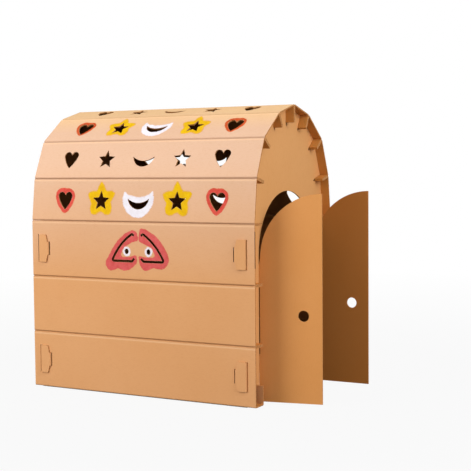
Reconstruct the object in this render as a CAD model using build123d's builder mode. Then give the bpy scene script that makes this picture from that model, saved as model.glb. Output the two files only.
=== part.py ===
from build123d import *
import os
from math import cos, radians, sin, sqrt

# Cardboard playhouse: two pleated half shells meet at the ridge and grip two end walls.
# The front wall has an arched doorway with a pair of doors on creased hinges.
# +Z is up and the doors face -Y. The origin is on the floor, at the middle of the
# footprint that the house and its open doors cover. Sizes are in millimetres.

# Board and folds
board = 4.5  # thickness of the corrugated board
fold_gap = 0.3  # space between the two layers of a pleat
seat_gap = 0.5  # space between a panel's edge and the board that it meets
slot_gap = 0.6  # space on each side of a board in its slot
slot_ease = 3.5  # space on the side where a tongue bends out of its slot

# Shell strips, each half counted from the floor to the ridge
house_length = 830.0
wall_strips = 3
wall_strip = 184.0
eave_strip = 138.0
lower_roof_strip = 133.0
upper_roof_strip = 129.0
ridge_strip = 113.0
eave_lean = 6.7  # degrees inwards from upright
lower_roof_lean = 23.1  # degrees inwards from upright
upper_roof_lean = 52.8  # degrees inwards from upright
ridge_lean = 74.7  # degrees inwards from upright
fin_depth = 50.0  # how far a pleat stands inwards from its fold line
crown_flap = 58.0  # single flap at the ridge, one on each half
base_width = 52.0  # strip folded inwards along the floor
lip_height = 60.0  # edge of that strip, folded up again

# End walls
front_recess = 29.0  # front rim to the front wall's outer face
rear_recess = 27.0  # rear rim to the rear wall's outer face
slot_tail = 12.0  # how far a slot runs on past its fin, to a point

# Locking tongues of the end walls, folded flat along the outside of the shell
tongue_strips = (1, wall_strips)
tongue_height = 90.0
tongue_reach = 38.0  # wall's outer face to the middle of the tucked tip
tongue_taper = 8.0  # length of the slanted corners before the tip
tongue_gap = 0.3  # space between a tongue and the shell under it
tip_height = 43.0
tip_tuck = 8.0  # how far the tip reaches past the shell's inner face

# Doorway and doors
door_leg = 28.5  # foot of the wall between the floor lip and the doorway
door_spring = 446.0  # height where the round top starts
door_gap = 5.0  # space between a leaf's round top and the doorway
door_lift = 4.0  # space under a leaf
meeting_gap = 2.0  # space between the two leaves when shut
hinge_gap = 0.3
hinge_drop = 22.0  # the crease ends this far below the start of the round top
hinge_slit_low = 150.0  # the crease is cut through between these heights
hinge_slit_high = 355.0
hinge_slit = 3.0
left_open = 79.0  # degrees from shut
right_open = 91.0  # degrees from shut
hole_diameter = 34.0  # finger hole
hole_along = 140.0  # from the hinge line
hole_height = 271.0

# Cut-outs, one row on each arch strip
cutout_pitch = 142.0
heart_width = 56.0
heart_height = 58.0
heart_notch = 11.0  # depth of the dip between the lobes
heart_side = 15.0  # from the top of the lobes down to the widest point
heart_bulge = 3.5  # how far the lower sides bow out
heart_foot = 36.0  # lowest point of each shape above the strip's lower fold
star_radius = 33.0
star_inner = 15.0
star_points = 5
star_foot = 38.5
crescent_width = 80.0
crescent_depth = 34.5
crescent_inner = 14.5  # dip of the upper curve
crescent_foot = 40.0

# Pair of wing-shaped slits in the top wall strip, one the mirror image of the other
slit_width = 7.5
slit_inner = 13.0  # from the middle of the strip to the ends of the slit
slit_turn = 8.0  # length across of the hooked ends
slit_outer = 97.0
slit_low = 60.0  # above the strip's lower fold
slit_high = 146.0
slit_hook_low = 9.0  # rise of the lower hook
slit_hook_high = 5.0  # drop of the upper hook
slit_bow = 8.5  # how far the slanted side bows out
slit_round = 4.5  # radius of the corners, at the middle of the slit
spot_width = 14.0  # oval hole inside each slit
spot_height = 17.0
spot_out = 41.0  # from the middle of the strip
spot_up = 91.0

# Layout worked out from the sizes above
arch_strips = (eave_strip, lower_roof_strip, upper_roof_strip, ridge_strip)
arch_leans = (eave_lean, lower_roof_lean, upper_roof_lean, ridge_lean)
strip_lengths = (wall_strip,) * wall_strips + arch_strips
strip_leans = (0.0,) * wall_strips + arch_leans
half_width = sum(s * sin(radians(a)) for s, a in zip(arch_strips, arch_leans))
fold_radius = board / 2  # middle of the board: a crease is sharp on its inside
layer = (board + fold_gap) / 2  # middle of a pleat's layer from the middle of the pleat
door_half = half_width - base_width - seat_gap - door_leg  # half the doorway, and the hinge line
leaf_width = door_half - meeting_gap / 2
hinge_top = door_spring - hinge_drop


def leaf_reach(open_angle):
    # how far a leaf stands out from the front wall's outer face
    turn = radians(open_angle)
    return leaf_width * sin(turn) + max(0.0, -board * cos(turn))


front_y = (max(leaf_reach(left_open), leaf_reach(right_open)) - front_recess - house_length) / 2
rear_y = front_y + house_length
middle_y = (front_y + rear_y) / 2
front_face_y = front_y + front_recess
rear_face_y = rear_y - rear_recess
wall_ends = ((front_face_y, 1), (rear_face_y, -1))  # outer face, and the way into the house


def up(lean):
    # unit vector up a strip, in the cross section
    return Vector(sin(radians(lean)), cos(radians(lean)))


def inward(lean):
    # unit vector from a strip into the house
    return Vector(cos(radians(lean)), -sin(radians(lean)))


def meet(p, p_way, q, q_way):
    # crossing point of two lines in the cross section
    gap = q - p
    turn = p_way.X * q_way.Y - p_way.Y * q_way.X
    return p + p_way * ((gap.X * q_way.Y - gap.Y * q_way.X) / turn)


# Fold lines of the left half on the outside of the board, floor to ridge
folds = [Vector(-half_width, 0)]
for length, lean in zip(strip_lengths, strip_leans):
    folds.append(folds[-1] + up(lean) * length)
ridge = folds[-1]


def pleat_lean(number):
    # a pleat points along the middle between its two strips
    return (strip_leans[number - 1] + strip_leans[number]) / 2


def shell_paths():
    # middle lines of the left sheet: each strip with half a pleat at its folds, floor lip to ridge flap
    mid = board / 2
    lip_x = -half_width + base_width - mid
    path = [Vector(lip_x, lip_height), Vector(lip_x, mid), Vector(-half_width + mid, mid)]
    paths = []
    for number in range(1, len(strip_leans)):
        mean = pleat_lean(number)
        for side, lean in ((-1, strip_leans[number - 1]), (1, strip_leans[number])):
            root = folds[number] + up(mean) * (side * layer)
            strip = folds[number] + inward(lean) * mid
            corner = meet(strip, up(lean), root, inward(mean))
            tip = root + inward(mean) * fin_depth
            if side < 0:
                paths.append(path + [corner, tip])
            else:
                path = [tip, corner]
    last_lean = strip_leans[-1]
    flap = Vector(-layer, ridge.Y)
    path.append(meet(ridge + inward(last_lean) * mid, up(last_lean), flap, Vector(0, -1)))
    paths.append(path + [flap - Vector(0, crown_flap)])
    return paths


def pleat_edge(number):
    # middle of the square edge that joins a pleat's two layers, where the board is creased twice
    mean = pleat_lean(number)
    middle = folds[number] + inward(mean) * (fin_depth - board / 2)
    return Location((middle.X, middle.Y, 0), (0, 0, -mean))


def strip_plane(number):
    # outside of a strip: x towards the doors, y up the strip from its lower fold
    fold = folds[number - 1]
    lean = radians(strip_leans[number - 1])
    return Plane(
        origin=(fold.X, middle_y, fold.Y), x_dir=(0, -1, 0), z_dir=(-cos(lean), 0, sin(lean))
    )


# Cut-out shapes, each standing on its lowest point
with BuildSketch() as heart:
    with BuildLine():
        notch = (0, heart_foot + heart_height - heart_notch)
        lobe = (heart_width / 4, heart_foot + heart_height)
        side = (heart_width / 2, heart_foot + heart_height - heart_side)
        tip = (0, heart_foot)
        ThreePointArc(notch, lobe, side)
        SagittaArc(side, tip, heart_bulge)
        mirror(about=Plane.YZ)
    make_face()

with BuildSketch() as star:
    star_centre = star_foot + star_radius * cos(radians(180 / star_points))
    star_turn = 180 / star_points
    rays = [(star_inner if k % 2 else star_radius, radians(k * star_turn)) for k in range(2 * star_points)]
    Polygon(*[(r * sin(a), star_centre + r * cos(a)) for r, a in rays], align=None)

with BuildSketch() as crescent:
    with BuildLine():
        left_horn = (-crescent_width / 2, crescent_foot + crescent_depth)
        right_horn = (crescent_width / 2, crescent_foot + crescent_depth)
        ThreePointArc(left_horn, (0, crescent_foot), right_horn)
        ThreePointArc(right_horn, (0, crescent_foot + crescent_depth - crescent_inner), left_horn)
    make_face()

with BuildSketch() as slits:
    with BuildLine() as slit_line:
        hook_x = slit_inner + slit_turn
        apex = (hook_x, slit_high)
        corner = (slit_outer, slit_low)
        foot = (hook_x, slit_low)
        Line((slit_inner, slit_high - slit_hook_high), apex)
        SagittaArc(apex, corner, slit_bow)
        Line(corner, foot)
        Line(foot, (slit_inner, slit_low + slit_hook_low))
        fillet(slit_line.vertices().sort_by(Axis.X)[2:], radius=slit_round)
    trace(line_width=slit_width)
    with Locations((spot_out, spot_up)):
        Ellipse(spot_width / 2, spot_height / 2)
    mirror(about=Plane.YZ)

# Left half of the shell: one sheet pleated at every strip, cut through for the shapes and the tongues
row = ((-2, heart), (-1, star), (0, crescent), (1, star), (2, heart))
with BuildPart() as left_shell:
    with BuildSketch(Plane.XZ.offset(-rear_y)):
        with BuildLine():
            for path in shell_paths():
                FilletPolyline(*path, radius=fold_radius)
        trace(line_width=board)
        for number in range(1, len(strip_leans)):
            with Locations(pleat_edge(number)):
                Rectangle(board, 2 * layer)
    extrude(amount=house_length)
    for number in range(wall_strips + 1, len(strip_leans) + 1):
        with BuildSketch(strip_plane(number)):
            for place, shape in row:
                with Locations((place * cutout_pitch, 0)):
                    add(shape.sketch)
        extrude(amount=-2 * board, mode=Mode.SUBTRACT)
    with BuildSketch(strip_plane(wall_strips)):
        add(slits.sketch)
    extrude(amount=-2 * board, mode=Mode.SUBTRACT)
    for number in tongue_strips:
        with BuildSketch(strip_plane(number)):
            for face_y, into in wall_ends:
                out_slot = face_y + into * (board + slot_gap - slot_ease) / 2
                tip_slot = face_y + into * (tongue_reach + (slot_ease - slot_gap) / 2)
                with Locations((middle_y - out_slot, wall_strip / 2)):
                    Rectangle(board + slot_gap + slot_ease, tongue_height + 2 * slot_gap)
                with Locations((middle_y - tip_slot, wall_strip / 2)):
                    Rectangle(board + slot_gap + slot_ease, tip_height + 2 * slot_gap)
        extrude(amount=-2 * board, mode=Mode.SUBTRACT)
left_shell.part.label = "left_shell"

# Right half: the mirror image of the left
with BuildPart() as right_shell:
    mirror(left_shell.part, about=Plane.YZ)
right_shell.part.label = "right_shell"

# One locking tongue at the left edge of a wall whose outer face is at y = 0
edge_x = -half_width + board + seat_gap
plate_x = -half_width - tongue_gap - board / 2
tip_x = -half_width + board + tip_tuck
with BuildPart() as tongue:
    with BuildSketch(Plane.XY.offset(-tongue_height / 2)):
        with BuildLine():
            FilletPolyline(
                (edge_x, board / 2), (plate_x, board / 2), (plate_x, tongue_reach), (tip_x, tongue_reach),
                radius=fold_radius,
            )
        trace(line_width=board)
    extrude(amount=tongue_height)
    with BuildSketch(Plane.YZ):
        with BuildLine():
            Polyline(
                (-board, tongue_height / 2), (tongue_reach - tongue_taper, tongue_height / 2),
                (tongue_reach - board / 2, tip_height / 2), (tongue_reach + board, tip_height / 2),
                (tongue_reach + board, 0), (-board, 0), close=True,
            )
        make_face()
        mirror(about=Plane.XZ)
    extrude(amount=-2 * half_width, mode=Mode.INTERSECT)


def wall_outline():
    # left half of a wall, from the floor round the floor lip and up inside the shell to the ridge
    set_in = board + seat_gap
    leg_x = -half_width + base_width + seat_gap
    points = [Vector(0, 0), Vector(leg_x, 0), Vector(leg_x, lip_height + seat_gap)]
    points.append(Vector(edge_x, lip_height + seat_gap))
    for number in range(wall_strips, len(strip_leans)):
        low, high = strip_leans[number - 1], strip_leans[number]
        fold = folds[number]
        points.append(meet(fold + inward(low) * set_in, up(low), fold + inward(high) * set_in, up(high)))
    last_lean = strip_leans[-1]
    points.append(meet(ridge + inward(last_lean) * set_in, up(last_lean), ridge, Vector(0, -1)))
    return points


def fin_slot(depth):
    # slot for a fin, running in along x from the fold line and ending in a point
    half = board + fold_gap / 2 + slot_gap
    end = depth + slot_gap
    Polygon(
        (-half, -half), (end, -half), (end + slot_tail, 0), (end, half), (-half, half),
        align=None, mode=Mode.SUBTRACT,
    )


def end_wall(face_y, into):
    # plain wall with its outer face at face_y and its tongues folded round the shell
    with BuildPart() as wall:
        with BuildSketch(Plane.XZ.offset(-face_y)):
            with BuildLine():
                Polyline(*wall_outline(), close=True)
            make_face()
            mirror(about=Plane.YZ)
            for number in range(1, len(strip_leans)):
                fold = folds[number]
                mean = pleat_lean(number)
                with Locations(Location((fold.X, fold.Y, 0), (0, 0, -mean))):
                    fin_slot(fin_depth)
                with Locations(Location((-fold.X, fold.Y, 0), (0, 0, 180 + mean))):
                    fin_slot(fin_depth)
            with Locations(Location((ridge.X, ridge.Y, 0), (0, 0, -90))):
                fin_slot(crown_flap)
        extrude(amount=-into * board)
        turned = tongue.part if into > 0 else mirror(tongue.part, about=Plane.XZ, mode=Mode.PRIVATE)
        pair = (turned, mirror(turned, about=Plane.YZ, mode=Mode.PRIVATE))
        for number in tongue_strips:
            with Locations((0, face_y, (number - 0.5) * wall_strip)):
                add(pair)
    return wall.part


# Front wall, with the doorway cut out
with BuildPart() as front_wall:
    add(end_wall(front_face_y, 1))
    with BuildSketch(Plane.XZ.offset(-front_face_y)):
        Rectangle(2 * door_half, door_spring, align=(Align.CENTER, Align.MIN))
        with Locations((0, door_spring)):
            Circle(door_half)
    extrude(amount=-board, mode=Mode.SUBTRACT)
front_wall.part.label = "front_wall"

# Rear wall, left whole
with BuildPart() as rear_wall:
    add(end_wall(rear_face_y, -1))
rear_wall.part.label = "rear_wall"

# Outline of a door leaf: x from the hinge line, y up from the floor
with BuildSketch() as leaf:
    leaf_round = door_half - door_gap
    leaf_top = door_spring + sqrt(leaf_round**2 - (meeting_gap / 2) ** 2)
    crown = (door_half - leaf_round * cos(radians(45)), door_spring + leaf_round * sin(radians(45)))
    with BuildLine():
        Polyline(
            (hinge_gap, hinge_top), (hinge_gap, door_lift), (leaf_width, door_lift), (leaf_width, leaf_top)
        )
        ThreePointArc((leaf_width, leaf_top), crown, (door_gap, door_spring))
        Line((door_gap, door_spring), (hinge_gap, hinge_top))
    make_face()
    with Locations((hole_along, hole_height)):
        Circle(hole_diameter / 2, mode=Mode.SUBTRACT)
    with Locations((0, hinge_slit_low)):
        Rectangle(
            hinge_gap + hinge_slit, hinge_slit_high - hinge_slit_low,
            align=(Align.MIN, Align.MIN), mode=Mode.SUBTRACT,
        )


def leaf_plane(side, open_angle):
    # outer face of a leaf, hinged at the left (-1) or right (1) of the doorway
    turn = radians(open_angle)
    along = Vector(-side * cos(turn), -sin(turn), 0)
    return Plane(
        origin=(side * door_half, front_face_y, 0), x_dir=along, z_dir=along.cross(Vector(0, 0, 1))
    )


with BuildPart() as left_door:
    with BuildSketch(leaf_plane(-1, left_open)):
        add(leaf.sketch)
    extrude(amount=-board)
left_door.part.label = "left_door"

with BuildPart() as right_door:
    with BuildSketch(leaf_plane(1, right_open)):
        add(leaf.sketch)
    extrude(amount=board)
right_door.part.label = "right_door"

os.makedirs("parts", exist_ok=True)
export_step(left_shell.part, "parts/left_shell.step")
export_step(right_shell.part, "parts/right_shell.step")
export_step(front_wall.part, "parts/front_wall.step")
export_step(rear_wall.part, "parts/rear_wall.step")
export_step(left_door.part, "parts/left_door.step")
export_step(right_door.part, "parts/right_door.step")
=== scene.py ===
import math

import bpy
from mathutils import Matrix, Vector, geometry, noise


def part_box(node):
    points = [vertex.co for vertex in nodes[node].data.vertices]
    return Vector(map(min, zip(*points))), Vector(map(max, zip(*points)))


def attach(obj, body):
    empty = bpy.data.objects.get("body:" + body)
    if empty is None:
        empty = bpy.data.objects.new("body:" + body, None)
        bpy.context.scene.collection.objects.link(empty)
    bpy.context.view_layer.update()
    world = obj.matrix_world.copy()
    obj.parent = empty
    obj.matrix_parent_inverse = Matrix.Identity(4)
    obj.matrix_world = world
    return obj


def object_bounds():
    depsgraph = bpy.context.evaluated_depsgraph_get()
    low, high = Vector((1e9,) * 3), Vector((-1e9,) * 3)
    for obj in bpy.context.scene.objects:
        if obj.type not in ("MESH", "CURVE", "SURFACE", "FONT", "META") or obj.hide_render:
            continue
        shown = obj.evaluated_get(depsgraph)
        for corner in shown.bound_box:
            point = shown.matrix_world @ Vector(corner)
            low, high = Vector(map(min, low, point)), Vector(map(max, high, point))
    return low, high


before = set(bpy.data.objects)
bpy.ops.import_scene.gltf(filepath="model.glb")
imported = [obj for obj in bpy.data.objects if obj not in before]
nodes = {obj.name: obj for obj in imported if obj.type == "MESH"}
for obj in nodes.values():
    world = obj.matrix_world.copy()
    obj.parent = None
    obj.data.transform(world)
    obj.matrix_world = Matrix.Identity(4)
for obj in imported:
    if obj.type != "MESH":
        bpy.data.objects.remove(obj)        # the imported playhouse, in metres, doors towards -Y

cadLow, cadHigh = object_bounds()  # box of the solids, before anything is added
scene = bpy.context.scene


# small helpers for shader trees

def newMaterial(name):
    material = bpy.data.materials.new(name)
    material.use_nodes = True
    material.node_tree.nodes.clear()
    return material, material.node_tree


def addNode(tree, kind, inputs=None, **settings):
    node = tree.nodes.new(kind)
    for key, value in settings.items():
        setattr(node, key, value)
    for key, value in (inputs or {}).items():
        if isinstance(value, bpy.types.NodeSocket):
            tree.links.new(value, node.inputs[key])
        else:
            node.inputs[key].default_value = value
    return node


def maths(tree, operation, a, b=0.0):
    return addNode(tree, "ShaderNodeMath", {0: a, 1: b}, operation=operation).outputs[0]


def axesOf(tree, vector):
    return addNode(tree, "ShaderNodeSeparateXYZ", {0: vector}).outputs


def vectorMaths(tree, operation, a, b=(0.0, 0.0, 0.0)):
    node = addNode(tree, "ShaderNodeVectorMath", {0: a, 1: b}, operation=operation)
    return node.outputs["Value" if operation in ("DOT_PRODUCT", "DISTANCE", "LENGTH") else "Vector"]


def mixColour(tree, share, a, b):
    return addNode(tree, "ShaderNodeMix", {0: share, 6: a, 7: b}, data_type="RGBA").outputs[2]


def remap(tree, value, low, high, newLow=0.0, newHigh=1.0):
    inputs = {0: value, 1: low, 2: high, 3: newLow, 4: newHigh}
    return addNode(tree, "ShaderNodeMapRange", inputs, clamp=True).outputs[0]


def noiseAt(tree, vector, grain):
    place = addNode(tree, "ShaderNodeMapping", {"Vector": vector, "Scale": grain["scale"]}).outputs[0]
    inputs = {"Vector": place, "Scale": 1.0, "Detail": grain["detail"], "Roughness": grain["rough"]}
    return addNode(tree, "ShaderNodeTexNoise", inputs).outputs[0]


def shareOf(tree, value, grain):
    return remap(tree, value, *grain["range"], 0.0, grain["share"])


def finishShader(tree, colour, height, finish):
    inputs = {"Strength": finish["bumpShare"], "Distance": finish["bumpDepth"], "Height": height}
    bump = addNode(tree, "ShaderNodeBump", inputs)
    shader = addNode(tree, "ShaderNodeBsdfPrincipled", {
        "Base Color": colour,
        "Roughness": remap(tree, height, *finish["grain"], *finish["roughness"]),
        "Specular IOR Level": finish["specular"],
        "Normal": bump.outputs[0],
    })
    out = addNode(tree, "ShaderNodeOutputMaterial")
    tree.links.new(shader.outputs[0], out.inputs[0])


def srgb(red, green, blue):
    values = [c / 255 for c in (red, green, blue)]  # screen values, turned into linear ones
    return tuple(c / 12.92 if c <= 0.04045 else ((c + 0.055) / 1.055) ** 2.4 for c in values) + (1.0,)


# cross section of the shell

shellLayout = {
    "strips": (0.184, 0.184, 0.184, 0.138, 0.133, 0.129, 0.113),  # floor to ridge
    "leans": (0.0, 0.0, 0.0, 6.7, 23.1, 52.8, 74.7),  # degrees inwards from upright
    "pitch": 0.142,  # between neighbouring cut-outs
    "tongueDip": 0.002,  # a wall counts as tongue from this far inside the shell's outer face
}
shellLow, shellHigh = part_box("left_shell")
houseMiddle = (shellLow.y + shellHigh.y) / 2
halfWidth = -shellLow.x
tongueFrom = halfWidth - shellLayout["tongueDip"]


def foldPoint(number):
    fold = Vector((-halfWidth, 0.0, 0.0))  # foot of the left half, on its outside
    for length, lean in list(zip(shellLayout["strips"], shellLayout["leans"]))[:number]:
        fold += length * Vector((math.sin(math.radians(lean)), 0, math.cos(math.radians(lean))))
    return fold  # at the top of that strip


# kraft board: what all sheets of the house share

board = {
    "inside": (srgb(138, 88, 42), srgb(144, 94, 48)),  # inner liner of the room, darkened as painted shade of the room: usual tone, and where paler
    "fibre": srgb(190, 124, 68),
    "edge": (srgb(160, 104, 56), srgb(208, 150, 94)),
    # dark flecks in the pulp, and the painted shade in the folds
    "dark": srgb(96, 54, 24),
    # slow drift of the liner's tone, fibres along the flutes, flecks in the pulp, torn paper of a cut edge
    "clouds": {"scale": (2.2, 2.2, 2.2), "detail": 4.0, "rough": 0.6, "range": (0.3, 0.7), "share": 1.0},
    "strands": {
        "along": 90.0, "across": 420.0, "detail": 4.0, "rough": 0.7, "range": (0.5, 0.8), "share": 0.25,
    },
    "specks": {"scale": (700.0,) * 3, "detail": 1.0, "rough": 0.55, "range": (0.72, 0.8), "share": 0.35},
    "torn": {"scale": (260.0,) * 3, "detail": 2.0, "rough": 0.55, "range": (0.35, 0.65), "share": 1.0},
    "edgeFacing": (0.4, 0.7),  # where liner and cut edge meet: facing along the shell, or out of a sheet
    "grain": (0.3, 0.7),  # range of the fibres that the roughness follows
    "roughness": (0.72, 0.88),
    "specular": 0.15,
    "bumpShare": 0.25,
    "bumpDepth": 0.0004,
}


# the two halves of the shell

shellSheet = {
    "outer": (srgb(214, 155, 102), srgb(219, 162, 111)),
    "roofSheen": (srgb(214, 174, 144), srgb(219, 180, 151)),
    "ridgeLit": (srgb(226, 184, 134), srgb(231, 190, 141)),
    "roofSheenFrom": (0.36, 0.74),  # heights between which the outer liner turns to the roof's painted sheen, paler and pinker
    "ridgeLitFrom": (0.84, 0.90),  # and those between which it turns to the ridge's painted light, lighter still
    "archCentre": 0.45,  # height that the arch's outer faces look away from
    "outerFacing": (0.6, 0.75),  # how squarely they do: inner liner below, outer liner above
    "rim": (srgb(196, 132, 62), srgb(202, 138, 70)),  # inner liner in front of the end walls, darkened as painted shade
    "roomEnds": 0.03,  # from the shell's ends to the end walls
    "foldReach": 0.006,  # the outer liner turns in at a fold this far
    "crease": (0.0055, 0.0030, 0.22),  # painted shade in the folds: dark from here, darkest there, and by how much
    "lip": (0.0068, 0.0038, 0.5),  # painted highlight on the rounded edge below a fold: this far below it, with this half width and share
    "highlightTone": srgb(244, 202, 158),  # tone of that painted highlight
    "slit": srgb(52, 27, 12),  # painted shade on the walls of the narrow wing slits
    "slitBand": (0.42, 0.53),  # heights that the wing slits lie between
    "slitDepth": 0.0046,  # the board, and a little more
    "slitFacing": 0.5,  # the walls of a slit look out of the shell by less than this
}


def outsideShare(tree, here, normal):
    place = axesOf(tree, here)
    rise = maths(tree, "MAXIMUM", maths(tree, "SUBTRACT", place[2], shellSheet["archCentre"]), 0.0)
    arm = addNode(tree, "ShaderNodeCombineXYZ", {0: place[0], 2: rise}).outputs[0]
    out = vectorMaths(tree, "NORMALIZE", arm)
    facing = vectorMaths(tree, "DOT_PRODUCT", normal, out)
    return remap(tree, facing, *shellSheet["outerFacing"])


def betweenWalls(tree, along):
    offMiddle = maths(tree, "ABSOLUTE", maths(tree, "SUBTRACT", along, houseMiddle))
    return maths(tree, "LESS_THAN", offMiddle, shellHigh.y - houseMiddle - shellSheet["roomEnds"])


def foldDistance(tree, here, drop=0.0):
    place = axesOf(tree, here)
    left = maths(tree, "MULTIPLY", maths(tree, "ABSOLUTE", place[0]), -1.0)  # both halves as the left one
    spot = addNode(tree, "ShaderNodeCombineXYZ", {0: left, 2: place[2]}).outputs[0]
    nearest = 1.0  # no point is further from a fold
    for number in range(1, len(shellLayout["strips"])):
        upStrip = (foldPoint(number) - foldPoint(number - 1)).normalized()
        away = vectorMaths(tree, "DISTANCE", spot, foldPoint(number) - drop * upStrip)
        nearest = maths(tree, "MINIMUM", away, nearest)
    return nearest


# mask of the walls of the wing slits, which get painted shade
def slitShadeShare(tree, here, normal):
    place = axesOf(tree, here)
    facing = maths(tree, "ABSOLUTE", axesOf(tree, normal)[0])
    across = maths(tree, "ABSOLUTE", place[0])
    inBoard = maths(tree, "GREATER_THAN", across, halfWidth - shellSheet["slitDepth"])
    low, high = shellSheet["slitBand"]
    inBand = maths(tree, "COMPARE", place[2], (low + high) / 2)
    inBand.node.inputs[2].default_value = (high - low) / 2
    inCut = maths(tree, "MULTIPLY", inBoard, inBand)
    return maths(tree, "MULTIPLY", inCut, maths(tree, "LESS_THAN", facing, shellSheet["slitFacing"]))


def shellLiner(tree, here, normal, clouds):
    place = axesOf(tree, here)
    usual, roofSheen, ridgeLit, rim = (
        mixColour(tree, clouds, *shellSheet[name]) for name in ("outer", "roofSheen", "ridgeLit", "rim")
    )
    # painted sheen on the roof strips, by height
    outer = mixColour(tree, remap(tree, place[2], *shellSheet["roofSheenFrom"]), usual, roofSheen)
    # painted light on the ridge, by height
    outer = mixColour(tree, remap(tree, place[2], *shellSheet["ridgeLitFrom"]), outer, ridgeLit)
    # painted highlight along the rounded edge just below each fold
    drop, half, share = shellSheet["lip"]
    lip = remap(tree, foldDistance(tree, here, drop), half, 0.0, 0.0, share)
    outer = mixColour(tree, lip, outer, shellSheet["highlightTone"])
    # inner liner darkened as painted shade: darkest in the room, less in front of the end walls
    room = mixColour(tree, clouds, *board["inside"])
    inner = mixColour(tree, betweenWalls(tree, place[1]), rim, room)
    away = foldDistance(tree, here)
    turnedIn = maths(tree, "LESS_THAN", away, shellSheet["foldReach"])
    outside = maths(tree, "MAXIMUM", outsideShare(tree, here, normal), turnedIn)
    # painted shade in the folds
    start, full, share = shellSheet["crease"]
    crease = remap(tree, away, start, full, 0.0, share)
    return mixColour(tree, crease, mixColour(tree, outside, inner, outer), board["dark"])


def shellEdges(tree, here, normal):
    along = axesOf(tree, normal)[1]
    return remap(tree, maths(tree, "ABSOLUTE", along), *board["edgeFacing"])


# the end walls, whose tongues lie on the shell and have its tone

wallSheet = {
    "outer": (srgb(219, 158, 97), srgb(224, 165, 107)),
    "faceNormal": (0.0, 1.0, 0.0),
    "inward": -0.1,  # a face looks into the room below this
    "tongueTilt": 0.1,  # cut edges of a tongue look up or down by more than this, and its folds don't
}


def wallLiner(tree, here, normal, clouds):
    place = axesOf(tree, here)
    away = maths(tree, "SUBTRACT", place[1], houseMiddle)
    facing = maths(tree, "MULTIPLY", away, axesOf(tree, normal)[1])
    tones = [mixColour(tree, clouds, *pair) for pair in (wallSheet["outer"], board["inside"])]
    # faces that look into the room take the inner liner's painted shade
    sheet = mixColour(tree, maths(tree, "LESS_THAN", facing, wallSheet["inward"]), *tones)
    folded = maths(tree, "GREATER_THAN", maths(tree, "ABSOLUTE", place[0]), tongueFrom)
    return mixColour(tree, folded, sheet, mixColour(tree, clouds, *shellSheet["outer"]))


def sheetEdges(faceNormal):
    def mask(tree, here, normal):
        facing = vectorMaths(tree, "DOT_PRODUCT", normal, faceNormal)
        return remap(tree, maths(tree, "ABSOLUTE", facing), *reversed(board["edgeFacing"]))
    return mask


def wallEdges(tree, here, normal):
    share = sheetEdges(wallSheet["faceNormal"])(tree, here, normal)
    folded = maths(tree, "GREATER_THAN", maths(tree, "ABSOLUTE", axesOf(tree, here)[0]), tongueFrom)
    upright = maths(tree, "ABSOLUTE", axesOf(tree, normal)[2])
    tongue = maths(tree, "GREATER_THAN", upright, wallSheet["tongueTilt"])
    return addNode(tree, "ShaderNodeMix", {0: folded, 2: share, 3: tongue}).outputs[0]


# the doors

doorSheet = {
    # both tones are darker and deeper than the shell's, as painted shade; the inner face darkest
    "outer": (srgb(208, 142, 78), srgb(213, 149, 88)),
    "inner": (srgb(178, 110, 46), srgb(184, 116, 54)),
    "inward": -0.5,  # a face looks into the house below this, with the door shut
}


def doorLiner(outward):
    def liner(tree, here, normal, clouds):
        facing = vectorMaths(tree, "DOT_PRODUCT", normal, outward)
        tones = [mixColour(tree, clouds, *doorSheet[name]) for name in ("outer", "inner")]
        # inward faces take the darker inner tone, painted shade
        return mixColour(tree, maths(tree, "LESS_THAN", facing, doorSheet["inward"]), *tones)
    return liner


def leafNormal(nodeName):
    broad = max(nodes[nodeName].data.polygons, key=lambda face: face.area).normal
    low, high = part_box(nodeName)
    return tuple(math.copysign(1.0, broad.x * (low.x + high.x)) * broad)  # away from the house's middle


def kraftMaterial(name, liner, fluteAxis, edgeMask, slitted=False):
    material, tree = newMaterial(name)
    spot = addNode(tree, "ShaderNodeTexCoord")
    here, normal = spot.outputs["Object"], spot.outputs["Normal"]
    clouds = noiseAt(tree, here, board["clouds"])
    colour = liner(tree, here, normal, shareOf(tree, clouds, board["clouds"]))
    lengths = [board["strands"]["along" if axis == fluteAxis else "across"] for axis in "XYZ"]
    strands = noiseAt(tree, here, dict(board["strands"], scale=lengths))
    colour = mixColour(tree, shareOf(tree, strands, board["strands"]), colour, board["fibre"])
    specks = noiseAt(tree, here, board["specks"])
    colour = mixColour(tree, shareOf(tree, specks, board["specks"]), colour, board["dark"])
    torn = noiseAt(tree, here, board["torn"])
    cut = mixColour(tree, shareOf(tree, torn, board["torn"]), *board["edge"])
    colour = mixColour(tree, edgeMask(tree, here, normal), colour, cut)
    # painted shade on the walls of the wing slits
    if slitted:
        colour = mixColour(tree, slitShadeShare(tree, here, normal), colour, shellSheet["slit"])
    finishShader(tree, colour, strands, board)
    return material


def dressNode(nodeName, material):
    node = nodes[nodeName]
    node.data.materials.clear()
    node.data.materials.append(material)


shellBoard = kraftMaterial("kraftShell", shellLiner, "Y", shellEdges, slitted=True)
wallBoard = kraftMaterial("kraftWall", wallLiner, "Z", wallEdges)
for nodeName in ("left_shell", "right_shell"):
    dressNode(nodeName, shellBoard)
for nodeName in ("front_wall", "rear_wall"):
    dressNode(nodeName, wallBoard)
for nodeName in ("left_door", "right_door"):
    outward = leafNormal(nodeName)
    dressNode(nodeName, kraftMaterial(nodeName + "Board", doorLiner(outward), "Z", sheetEdges(outward)))
print("board materials done")


# paint brushed round the cut-outs of the near side, each field a thin skin on its strip

def stripPlace(number, along):
    fold = foldPoint(number - 1) + Vector((0.0, houseMiddle - along, 0.0))
    lean = math.radians(shellLayout["leans"][number - 1])
    axes = Matrix((  # columns: towards the doors, up the strip, out of the strip
        (0.0, math.sin(lean), -math.cos(lean)),
        (-1.0, 0.0, 0.0),
        (0.0, math.cos(lean), math.sin(lean)),
    ))
    return Matrix.Translation(fold) @ axes.to_4x4()


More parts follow.
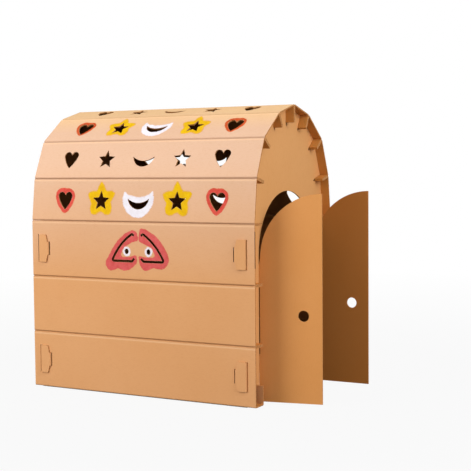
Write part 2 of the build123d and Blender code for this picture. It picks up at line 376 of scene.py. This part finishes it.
brush = {
    "thick": 0.00025,
    "sunk": 0.00003,  # depth of a skin's back in the board
    "clear": 0.0004,  # paint stops this far from a cut
    "spacing": 0.0025,  # between points of a rim
    "grid": 0.007,  # between points inside it
    "weld": 0.000001,  # points nearer than this become one
    "ragged": 0.0014,  # height of a rim's large waves
    "raggedScale": 110.0,
    "raggedFine": (0.7, 2.7),  # smaller waves: their height and number against the large ones
    "seedStep": 7.3,  # from one seed's waves to the next
    "reach": 0.010,  # the brush layer's v is 1 from this far in from the rim
    "turn": 0.1,  # length of strip for one turn of its u
    # bristle marks along the strip, thick and thin places
    "streaks": {"scale": (90.0, 90.0, 420.0), "detail": 4.0, "rough": 0.65, "range": (0.5, 0.72)},
    "patches": {"scale": (45.0, 45.0, 45.0), "detail": 3.0, "rough": 0.6, "range": (0.35, 0.65)},
    "dryMiddle": 0.5,  # bristle marks that neither widen nor narrow the dry rim
    "drySpread": 1.6,
    "grain": (0.3, 0.7),  # range of the bristle marks that the roughness follows
    "roughness": (0.70, 0.88),
    "specular": 0.15,
    "bumpShare": 0.3,
    "bumpDepth": 0.0003,
}
perMetre = 1000  # outlines are in millimetres, towards the doors and up from the strip's lower fold


def millimetres(points):
    return [Vector((x / perMetre, y / perMetre)) for x, y in points]


def arcThrough(a, b, c, count):
    a, b, c = Vector(a), Vector(b), Vector(c)
    middle = geometry.intersect_line_line(
        *[p.to_3d() for p in ((a + b) / 2, (a + b) / 2 + (b - a).orthogonal())],
        *[p.to_3d() for p in ((b + c) / 2, (b + c) / 2 + (c - b).orthogonal())],
    )[0].to_2d()
    first, mid, last = (math.atan2(p.y - middle.y, p.x - middle.x) for p in (a, b, c))
    turn = (last - first) % math.tau
    if (mid - first) % math.tau > turn:
        turn -= math.tau
    angles = [first + turn * k / count for k in range(count)]
    return [middle + (a - middle).length * Vector((math.cos(t), math.sin(t))) for t in angles]


def smoothLoop(points):
    found = []
    for i in range(len(points)):  # a cubic from each point to the next, in line with their neighbours
        before, a, b, after = (points[(i + k) % len(points)] for k in (-1, 0, 1, 2))
        count = max(1, round((b - a).length / brush["spacing"]))
        for k in range(count):
            t = k / count
            bend = (b - before) * t + (2 * before - 5 * a + 4 * b - after) * t ** 2
            found.append(a + 0.5 * (bend + (3 * a - before - 3 * b + after) * t ** 3))
    return found


def roughLoop(points, seed):
    share, scale = brush["raggedFine"]
    found = []
    for i, p in enumerate(points):
        way = (points[(i + 1) % len(points)] - points[i - 1]).normalized()
        at = Vector((p.x * brush["raggedScale"], p.y * brush["raggedScale"], seed * brush["seedStep"]))
        push = noise.noise(at) + share * noise.noise(at * scale)
        found.append(p + push * brush["ragged"] * Vector((way.y, -way.x)))
    return found


def grownLoop(points, distance):
    area = sum(p.cross(points[(i + 1) % len(points)]) for i, p in enumerate(points))
    found = []
    for i, p in enumerate(points):
        ways = [(p - points[i - 1]).normalized(), (points[(i + 1) % len(points)] - p).normalized()]
        side = Vector((ways[0].y + ways[1].y, -ways[0].x - ways[1].x)).normalized()
        found.append(p + math.copysign(distance, area) * side)
    return found


def spreadLoop(rim, hole, spread):
    middle = sum(hole, Vector((0, 0))) / len(hole)
    return [middle + (p - middle) * Vector(spread) for p in rim]


def fromRim(p, rim):
    gaps = []
    for i, end in enumerate(rim):
        foot, share = geometry.intersect_point_line(p, rim[i - 1], end)
        gaps.append(((foot if 0 <= share <= 1 else end) - p).length)
    return min(gaps)


def insideLoop(p, loop):
    hits = 0
    for i, a in enumerate(loop):
        b = loop[i - 1]
        if (a.y > p.y) != (b.y > p.y) and p.x < a.x + (b.x - a.x) * (p.y - a.y) / (b.y - a.y):
            hits += 1
    return hits % 2 == 1


def inField(p, rim, hole):
    return insideLoop(p, rim) and not insideLoop(p, hole)


def gridPoints(rim, hole):
    low = Vector((min(p.x for p in rim), min(p.y for p in rim)))
    high = Vector((max(p.x for p in rim), max(p.y for p in rim)))
    found = []
    for column in range(int((high.x - low.x) / brush["grid"]) + 1):
        for line in range(int((high.y - low.y) / brush["grid"]) + 1):
            shift = 0.5 * (line % 2)  # every other line stands half a step on
            found.append(low + Vector((column + shift, line)) * brush["grid"])
    return [p for p in found if inField(p, rim, hole)]


def fieldFaces(rim, hole):
    points, edges = [], []
    for loop in (rim, hole):
        first = len(points)
        points += loop
        edges += [(first + i, first + (i + 1) % len(loop)) for i in range(len(loop))]
    points += gridPoints(rim, hole)
    flat, _, faces, *_ = geometry.delaunay_2d_cdt(points, edges, [], 0, brush["weld"])
    middles = [sum((flat[i] for i in face), Vector((0, 0))) / 3 for face in faces]
    faces = [face for face, middle in zip(faces, middles) if inField(middle, rim, hole)]
    used = sorted({i for face in faces for i in face})
    number = {old: new for new, old in enumerate(used)}
    return [flat[i] for i in used], [tuple(number[i] for i in face) for face in faces]


def skinMesh(name, flat, faces, place, thick):
    count = len(flat)
    sides = {(face[i - 1], face[i]) for face in faces for i in range(3)}
    walls = [(b, a, a + count, b + count) for a, b in sides if (b, a) not in sides]
    backs = [tuple(i + count for i in face[::-1]) for face in faces]
    verts = [place @ Vector((p.x, p.y, level)) for level in (thick, -brush["sunk"]) for p in flat]
    mesh = bpy.data.meshes.new(name)
    mesh.from_pydata(verts, [], faces + backs + walls)
    return mesh


def brushLayer(mesh, flat, rim):
    depth = [min(1.0, fromRim(p, rim) / brush["reach"]) for p in flat]
    layer = mesh.uv_layers.new(name="brush").data  # u along the strip, v in from the rim
    for loop in mesh.loops:
        i = loop.vertex_index % len(flat)
        layer[loop.index].uv = (flat[i].x / brush["turn"], depth[i])


def paintField(name, rim, hole, place, colour, thick):
    flat, faces = fieldFaces(rim, hole)
    mesh = skinMesh(name, flat, faces, place, thick)
    brushLayer(mesh, flat, rim)
    mesh.materials.append(paintOf[colour])
    piece = bpy.data.objects.new(name, mesh)
    scene.collection.objects.link(piece)
    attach(piece, "house")


def paintMaterial(name, paint):
    material, tree = newMaterial(name)
    spot = addNode(tree, "ShaderNodeTexCoord")
    here = spot.outputs["Object"]
    depth = axesOf(tree, spot.outputs["UV"])[1]
    streaks = noiseAt(tree, here, brush["streaks"])
    patches = noiseAt(tree, here, brush["patches"])
    pale = remap(tree, patches, *brush["patches"]["range"])
    colour = mixColour(tree, pale, paint["deep"], paint["light"])
    thin = remap(tree, streaks, *brush["streaks"]["range"], 0.0, paint["streak"])
    colour = mixColour(tree, thin, colour, paint["thin"])
    marks = maths(tree, "SUBTRACT", streaks, brush["dryMiddle"])
    dry = maths(tree, "ADD", depth, maths(tree, "MULTIPLY", marks, brush["drySpread"]))
    bare = remap(tree, dry, paint["dryTo"], 0.0, 0.0, paint["dry"])  # board that shows through near the rim
    colour = mixColour(tree, bare, colour, shellSheet["outer"][0])
    finishShader(tree, colour, streaks, brush)
    return material


# tones of thick, pale and thin paint, the share of thin marks, and how far in and how much the board shows
paints = {
    "red": {
        "deep": srgb(196, 64, 50), "light": srgb(212, 80, 67), "thin": srgb(220, 106, 90),
        "streak": 0.5, "dryTo": 0.18, "dry": 0.5,
    },
    "orange": {
        "deep": srgb(184, 67, 24), "light": srgb(200, 82, 35), "thin": srgb(210, 108, 60),
        "streak": 0.4, "dryTo": 0.18, "dry": 0.5,
    },
    "yellow": {
        "deep": srgb(214, 164, 0), "light": srgb(226, 182, 0), "thin": srgb(224, 176, 24),
        "streak": 0.3, "dryTo": 0.4, "dry": 0.8,
    },
    "white": {
        "deep": srgb(222, 216, 222), "light": srgb(232, 227, 234), "thin": srgb(224, 212, 206),
        "streak": 0.4, "dryTo": 0.3, "dry": 0.7,
    },
    "pink": {
        "deep": srgb(200, 78, 74), "light": srgb(212, 92, 90), "thin": srgb(216, 108, 100),
        "streak": 0.5, "dryTo": 0.14, "dry": 0.4,
    },
}
paintOf = {colour: paintMaterial(colour + "Paint", paint) for colour, paint in paints.items()}

heartPaint = {
    "slot": "red_paint",
    "hole": {
        "width": 56, "height": 58, "notch": 11, "side": 15, "bulge": 3.5, "foot": 36,
        "lobePoints": 14, "sidePoints": 8,
    },
    "rim": (
        (0, 107), (18, 106), (33, 97), (39, 80), (32, 56), (15, 33), (0, 24),
        (-14, 33), (-31, 56), (-39, 80), (-34, 97), (-18, 107),
    ),
}


def heartHole():
    size = heartPaint["hole"]
    top = size["foot"] + size["height"]
    notch, lobe, tip = (0, top - size["notch"]), (size["width"] / 4, top), (0, size["foot"])
    side = Vector((size["width"] / 2, top - size["side"]))
    way = (Vector(tip) - side).normalized()
    bow = (Vector(tip) + side) / 2 + size["bulge"] * Vector((-way.y, way.x))
    half = arcThrough(notch, lobe, side, size["lobePoints"])
    half += arcThrough(side, bow, tip, size["sidePoints"])
    return half + [Vector(tip)] + [Vector((-p.x, p.y)) for p in half[:0:-1]]


starPaint = {
    "slot": "yellow_paint",
    "colour": "yellow",
    "hole": {"radius": 33, "inner": 15, "foot": 38.5, "rays": 5},
    "rim": (
        (0, 128), (12, 115), (20, 101), (38, 99), (53, 92), (50, 78), (40, 63), (43, 44), (37, 24),
        (20, 20), (0, 29), (-18, 21), (-35, 24), (-43, 40), (-40, 58), (-50, 76), (-52, 90), (-37, 98),
        (-18, 101), (-11, 116),
    ),
}


def starHole():
    size = starPaint["hole"]
    middle = size["foot"] + size["radius"] * math.cos(math.pi / size["rays"])
    turns = [math.pi * k / size["rays"] for k in range(2 * size["rays"])]
    spans = [size["inner"] if k % 2 else size["radius"] for k in range(2 * size["rays"])]
    return [Vector((r * math.sin(t), middle + r * math.cos(t))) for r, t in zip(spans, turns)]


crescentPaint = {
    "slot": "white_paint",
    "colour": "white",
    "hole": {"width": 80, "depth": 34.5, "inner": 14.5, "foot": 40, "lowerPoints": 18, "upperPoints": 12},
    "rim": (
        (51, 98), (38, 88), (0, 80), (-38, 88), (-51, 98), (-58, 86), (-60, 66), (-48, 38), (-24, 18),
        (0, 13), (22, 17), (44, 36), (58, 64), (57, 86),
    ),
}


def crescentHole():
    size = crescentPaint["hole"]
    top = size["foot"] + size["depth"]
    left, right = (-size["width"] / 2, top), (size["width"] / 2, top)
    lower = arcThrough(left, (0, size["foot"]), right, size["lowerPoints"])
    return lower + arcThrough(right, (0, top - size["inner"]), left, size["upperPoints"])


rowPaint = {
    "order": ("heart", "star", "crescent", "star", "heart"),  # towards the doors
    "strips": {  # painted strips: the hearts' colour, and the rims' size against the usual one
        4: {"hearts": "red", "spread": (1.0, 1.0)},
        6: {"hearts": "orange", "spread": (0.95, 0.89)},
    },
    "seedStep": 10,  # from one strip's seeds to the next
}


def paintRows():
    shapes = {
        "heart": (heartPaint, millimetres(heartHole())),
        "star": (starPaint, millimetres(starHole())),
        "crescent": (crescentPaint, millimetres(crescentHole())),
    }
    for strip, row in rowPaint["strips"].items():
        for number, shape in enumerate(rowPaint["order"]):
            paint, hole = shapes[shape]
            step = number - len(rowPaint["order"]) // 2  # from the middle of the row
            rim = smoothLoop(spreadLoop(millimetres(paint["rim"]), hole, row["spread"]))
            rim = roughLoop(rim, strip * rowPaint["seedStep"] + step)
            name = "%sPaint%d%s" % (shape, strip, "abcde"[number])
            place = stripPlace(strip, step * shellLayout["pitch"])
            colour = paint.get("colour", row["hearts"])
            inner = grownLoop(hole, brush["clear"])
            paintField(name, rim, inner, place, colour, brush["thick"])


paintRows()

wingPaint = {
    "strip": 3,
    "sides": {"left": -1, "right": 1},
    "seed": 3,
    "slit": {  # middle line of the cut, from the upper hook round to the lower one
        "hook": (13, 141), "apex": (21, 146), "corner": (97, 60), "foot": (21, 60), "end": (13, 69),
        "bow": 8.5, "width": 7.5, "round": 4.5, "bowPoints": 6, "roundPoints": 5,
    },
    "leftRim": (
        (2, 127), (-14, 121), (-31, 114), (-45, 106), (-57, 93), (-62, 80), (-53, 73), (-28, 75), (-6, 79),
        (-2, 64), (-6, 51), (-28, 35), (-47, 29), (-63, 31), (-74, 35), (-92, 29), (-106, 28), (-118, 38),
        (-123, 54), (-110, 76), (-98, 95), (-78, 121), (-53, 143), (-34, 153), (-16, 158), (-2, 150),
    ),
    "rightRim": (
        (5, 127), (12, 120), (27, 114), (41, 108), (56, 95), (63, 81), (54, 74), (24, 75), (5, 76),
        (4, 66), (10, 45), (22, 33), (34, 31), (58, 40), (76, 38), (92, 38), (105, 46), (114, 60),
        (115, 76), (102, 102), (86, 124), (66, 143), (44, 155), (27, 163), (12, 163), (6, 150),
    ),
}


def roundedCorner(before, corner, after):
    radius, count = wingPaint["slit"]["round"], wingPaint["slit"]["roundPoints"]
    ways = [(before - corner).normalized(), (after - corner).normalized()]
    half = ways[0].angle(ways[1]) / 2
    first, last = (corner + way * radius / math.tan(half) for way in ways)
    nearest = corner + (ways[0] + ways[1]).normalized() * (radius / math.sin(half) - radius)
    return arcThrough(first, nearest, last, count) + [last]


def slitHole(side):
    size = wingPaint["slit"]
    turns = ("hook", "apex", "corner", "foot", "end")
    hook, apex, corner, foot, end = (Vector(size[name]) for name in turns)
    way = (corner - apex).normalized()
    bow = (apex + corner) / 2 + size["bow"] * Vector((-way.y, way.x))
    slant = arcThrough(apex, bow, corner, size["bowPoints"])[1:]
    line = [hook] + roundedCorner(hook, apex, slant[0]) + slant
    line += roundedCorner(slant[-1], corner, foot)
    line += roundedCorner(corner, foot, end) + [end]
    half = size["width"] / 2 + brush["clear"] * perMetre
    outline = []
    for path in (line, line[::-1]):  # one side of the cut, then back along the other
        for i, p in enumerate(path):
            ways = [(path[k + 1] - path[k]).normalized() for k in (i - 1, i) if 0 <= k < len(path) - 1]
            mean = (ways[0] + ways[-1]).normalized()
            outline.append(p + half / mean.dot(ways[0]) * Vector((-mean.y, mean.x)))
    return [Vector((side * p.x, p.y)) for p in outline]


def paintWings():
    place = stripPlace(wingPaint["strip"], 0.0)
    for name, side in wingPaint["sides"].items():
        rim = roughLoop(smoothLoop(millimetres(wingPaint[name + "Rim"])), side * wingPaint["seed"])
        hole = millimetres(slitHole(side))
        paintField(name + "WingPaint", rim, hole, place, "pink", brush["thick"])


paintWings()

spotPaint = {
    "out": 41, "up": 91, "hole": (14, 17), "rim": (31, 32), "points": 28,
    "thick": 0.0004,  # over the wings' paint
    "seed": 5,
}


def spotLoop(side, size):
    turns = [math.tau * k / spotPaint["points"] for k in range(spotPaint["points"])]
    middle = Vector((side * spotPaint["out"], spotPaint["up"]))
    across, tall = size[0] / 2, size[1] / 2
    return millimetres([middle + Vector((across * math.cos(t), tall * math.sin(t))) for t in turns])


def paintSpots():
    place = stripPlace(wingPaint["strip"], 0.0)
    for name, side in wingPaint["sides"].items():
        rim = roughLoop(spotLoop(side, spotPaint["rim"]), side * spotPaint["seed"])
        hole = grownLoop(spotLoop(side, spotPaint["hole"]), brush["clear"])
        paintField(name + "SpotPaint", rim, hole, place, "white", spotPaint["thick"])


paintSpots()
print("paint done")


# floor and light

studio = {
    "white": (1.0, 1.0, 1.0, 1.0),
    "floorSize": 60.0,
    "floorDrop": 0.0005,  # below the house, so that the two don't share a plane
    "floorColour": (0.16, 0.16, 0.16, 1.0),
    "floorRoughness": 0.9,
    "roomFloor": (0.42, 0.42, 0.42, 1.0),  # floor inside the house
    "floorGlow": (0.93, 1.0),  # share of plain white near the house and far from it
    "floorFade": (1.0, 4.0),  # distances between which it changes
    "sky": (0.80, 0.12, 0.03),  # light from straight up, the side and below
    "lamps": {
        "leftLamp": {"spot": (-2.7, 1.3, 1.6), "aim": (-0.1, 0.1, 0.5), "size": 1.6, "power": 71.0},
        "fillLamp": {"spot": (-2.9, -1.6, 1.2), "aim": (-0.1, 0.0, 0.5), "size": 2.0, "power": 11.0},
        "frontLamp": {"spot": (-0.6, -2.6, 1.7), "aim": (0.0, -0.3, 0.6), "size": 1.4, "power": 44.0},
        "rightLamp": {"spot": (2.9, 1.4, 1.2), "aim": (0.1, 0.1, 0.5), "size": 2.0, "power": 36.0},
    },
}


def addLamp(name, setup):
    data = bpy.data.lights.new(name, "AREA")
    data.shape = "SQUARE"
    data.size = setup["size"]
    data.energy = setup["power"]
    lamp = bpy.data.objects.new(name, data)
    lamp.location = setup["spot"]
    lamp.rotation_mode = "QUATERNION"
    lamp.rotation_quaternion = (Vector(setup["aim"]) - Vector(setup["spot"])).to_track_quat("-Z", "Y")
    scene.collection.objects.link(lamp)


def seenDirectly(tree):
    path = addNode(tree, "ShaderNodeLightPath").outputs
    through = maths(tree, "MAXIMUM", path["Is Glossy Ray"], path["Is Transmission Ray"])
    return maths(tree, "MAXIMUM", path["Is Camera Ray"], through)


def makeWorld():
    world = bpy.data.worlds.new("studio")
    world.use_nodes = True
    tree = world.node_tree
    tree.nodes.clear()
    height = axesOf(tree, addNode(tree, "ShaderNodeTexCoord").outputs["Generated"])[2]
    top, side, below = studio["sky"]
    upper = remap(tree, height, 0.0, 1.0, side, top)
    level = maths(tree, "ADD", upper, remap(tree, height, -1.0, 0.0, below - side, 0.0))
    light = addNode(tree, "ShaderNodeBackground", {"Color": studio["white"], "Strength": level})
    white = addNode(tree, "ShaderNodeBackground", {"Color": studio["white"], "Strength": 1.0})
    shaders = {0: seenDirectly(tree), 1: light.outputs[0], 2: white.outputs[0]}
    mix = addNode(tree, "ShaderNodeMixShader", shaders)
    out = addNode(tree, "ShaderNodeOutputWorld")
    tree.links.new(mix.outputs[0], out.inputs[0])
    scene.world = world


def floorMaterial():
    material, tree = newMaterial("paleFloor")
    glow = addNode(tree, "ShaderNodeEmission", {"Color": studio["white"], "Strength": 1.0})
    here = addNode(tree, "ShaderNodeTexCoord").outputs["Object"]
    away = vectorMaths(tree, "LENGTH", here)
    white = remap(tree, away, *studio["floorFade"], *studio["floorGlow"])
    place = axesOf(tree, here)
    across = maths(tree, "LESS_THAN", maths(tree, "ABSOLUTE", place[0]), halfWidth)
    outdoors = maths(tree, "SUBTRACT", 1.0, maths(tree, "MULTIPLY", across, betweenWalls(tree, place[1])))
    share = maths(tree, "MULTIPLY", seenDirectly(tree), maths(tree, "MULTIPLY", white, outdoors))
    colour = mixColour(tree, outdoors, studio["roomFloor"], studio["floorColour"])
    inputs = {"Base Color": colour, "Roughness": studio["floorRoughness"]}
    shade = addNode(tree, "ShaderNodeBsdfPrincipled", inputs)
    mix = addNode(tree, "ShaderNodeMixShader", {0: share, 1: shade.outputs[0], 2: glow.outputs[0]})
    out = addNode(tree, "ShaderNodeOutputMaterial")
    tree.links.new(mix.outputs[0], out.inputs[0])
    return material


def makeFloor():
    mesh = bpy.data.meshes.new("floor")
    half = studio["floorSize"] / 2
    corners = [(-half, -half, 0), (half, -half, 0), (half, half, 0), (-half, half, 0)]
    mesh.from_pydata(corners, [], [(0, 1, 2, 3)])
    mesh.materials.append(floorMaterial())
    floor = bpy.data.objects.new("floor", mesh)
    floor.location.z = cadLow.z - studio["floorDrop"]
    scene.collection.objects.link(floor)


makeWorld()
makeFloor()
for lampName, setup in studio["lamps"].items():
    addLamp(lampName, setup)
print("floor and light done")


# camera at the photograph's place, given from the middle of the house on the floor

photoCamera = {
    "spot": (-3.2154, -1.9457, 0.7281),
    "yaw": 61.484,
    "pitch": 3.603,
    "roll": 0.5055,
    "lens": 85.54,
    "sensor": 36.0,
}


def addCamera():
    data = bpy.data.cameras.new("photoCamera")
    data.lens = photoCamera["lens"]
    data.sensor_width = photoCamera["sensor"]
    camera = bpy.data.objects.new("photoCamera", data)
    middle = Vector((0, houseMiddle, 0))
    turn = Matrix.Rotation(-math.radians(photoCamera["yaw"]), 4, "Z")
    tilt = Matrix.Rotation(math.radians(90 - photoCamera["pitch"]), 4, "X")
    roll = Matrix.Rotation(-math.radians(photoCamera["roll"]), 4, "Z")
    camera.matrix_world = Matrix.Translation(middle + Vector(photoCamera["spot"])) @ turn @ tilt @ roll
    scene.collection.objects.link(camera)
    scene.camera = camera


addCamera()
scene.view_settings.view_transform = "Standard"
print("camera done")
